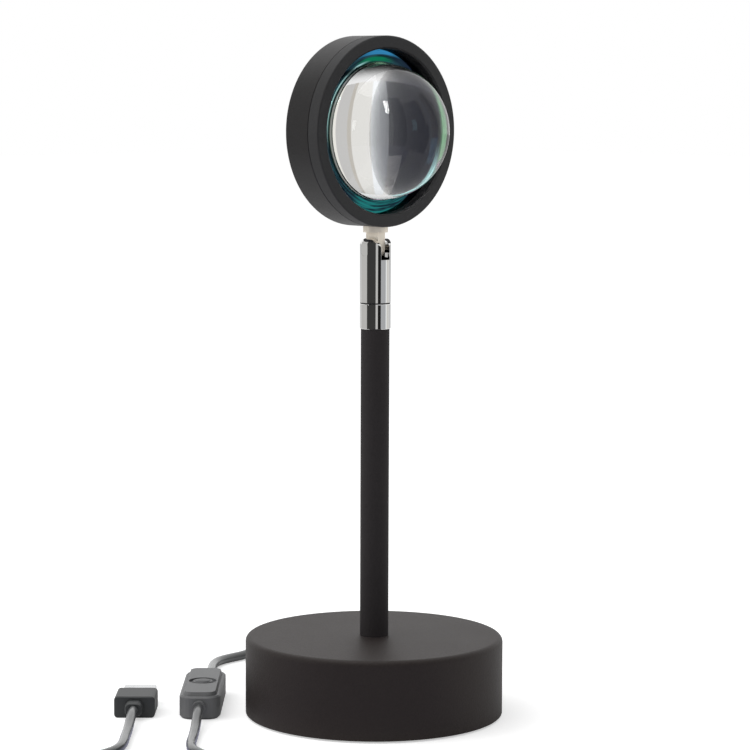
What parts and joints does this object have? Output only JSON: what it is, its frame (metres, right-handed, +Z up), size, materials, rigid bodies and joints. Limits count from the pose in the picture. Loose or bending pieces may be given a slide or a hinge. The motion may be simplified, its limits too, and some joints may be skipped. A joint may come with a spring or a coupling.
{
  "type": "sunset projection lamp",
  "caption": "Desk projection lamp: weighted round base, slim stem, chrome swivel, round tilting head with half-ball lens, and a USB lead with inline push switch.",
  "frame": {"origin": "centre of the base's underside, on the surface that the lamp stands on", "axes": "+Z up along the stem; the head looks along -Y and tilts about X; the cord leaves the base at +Y"},
  "size_m": [0.2403, 0.1526, 0.2494],
  "materials": {
    "black_coat": "matte black powder coat with a fine grain",
    "black_shell": "matte black coat on turned aluminium",
    "cast_weight": "rough as cast",
    "plate_steel": "zinc plated",
    "screw_steel": "zinc plated",
    "foam_pad": "fine closed-cell foam",
    "swivel_chrome": "polished chrome",
    "knuckle_nickel": "nickel plated brass, slightly warm",
    "bare_brass": "machined brass",
    "lens_glass": "clear polished glass",
    "filter_glass": "glass with a colour-splitting coating, blue-green by reflection",
    "gasket_rubber": "soft black rubber",
    "board_white": "aluminium circuit board with a white mask",
    "chip_yellow": "phosphor under clear resin",
    "wire_red": "wire insulation",
    "wire_black": "wire insulation",
    "cord_jacket": "dark grey cord jacket with a soft gloss",
    "switch_grey": "satin dark grey plastic",
    "board_green": "circuit board with a green mask",
    "plug_black": "moulded satin black",
    "plug_steel": "nickel plated sheet steel",
    "plug_white": "white moulded insulator",
    "contact_gold": "gold plated contacts"
  },
  "bodies": {
    "base": {"base_shell": "black_coat", "base_weight": "cast_weight", "base_plate": "plate_steel", "base_screws": "screw_steel", "foot_pad": "foam_pad", "stem_tube": "black_coat", "stem_nipple": "bare_brass", "stem_washer": "screw_steel", "stem_nut": "screw_steel", "stem_lead": "wire_black", "swivel_collar": "swivel_chrome", "cord_relief": "plug_black", "cord_lead": "cord_jacket", "cord_coil": "cord_jacket", "cord_run": "cord_jacket", "cord_tail": "cord_jacket", "switch_lower_shell": "switch_grey", "switch_upper_shell": "switch_grey", "switch_board": "board_green", "switch_key": "plug_black", "plug_grip": "plug_black", "plug_shell": "plug_steel", "plug_insert": "plug_white", "plug_contacts": "contact_gold"},
    "swivel": {"swivel_barrel": "swivel_chrome", "swivel_spindle": "bare_brass", "spring_washer": "screw_steel", "pivot_screw": "swivel_chrome"},
    "head": {"knuckle": "knuckle_nickel", "rear_shell": "black_shell", "front_ring": "black_shell", "filter_disc": "filter_glass", "filter_gasket": "gasket_rubber", "lens": "lens_glass", "led_board": "board_white", "led_chip": "chip_yellow", "board_screws": "screw_steel", "head_lead": "wire_red"},
    "button": {"switch_button": "switch_grey", "switch_plunger": "plug_white"}
  },
  "joints": [
    {"name": "swivel_yaw", "type": "hinge", "parent": "base", "child": "swivel", "pos_m": [0, 0, 0.1524], "axis": [0, 0, 1], "range_deg": [-175, 175]},
    {"name": "head_tilt", "type": "hinge", "parent": "swivel", "child": "head", "pos_m": [0, 0, 0.1722], "axis": [1, 0, 0], "range_deg": [-90, 90]},
    {"name": "switch_press", "type": "slide", "parent": "base", "child": "button", "axis": [0, 0, -1], "range_m": [0, 0.0012], "stiffness_N_per_m": 400}
  ]
}
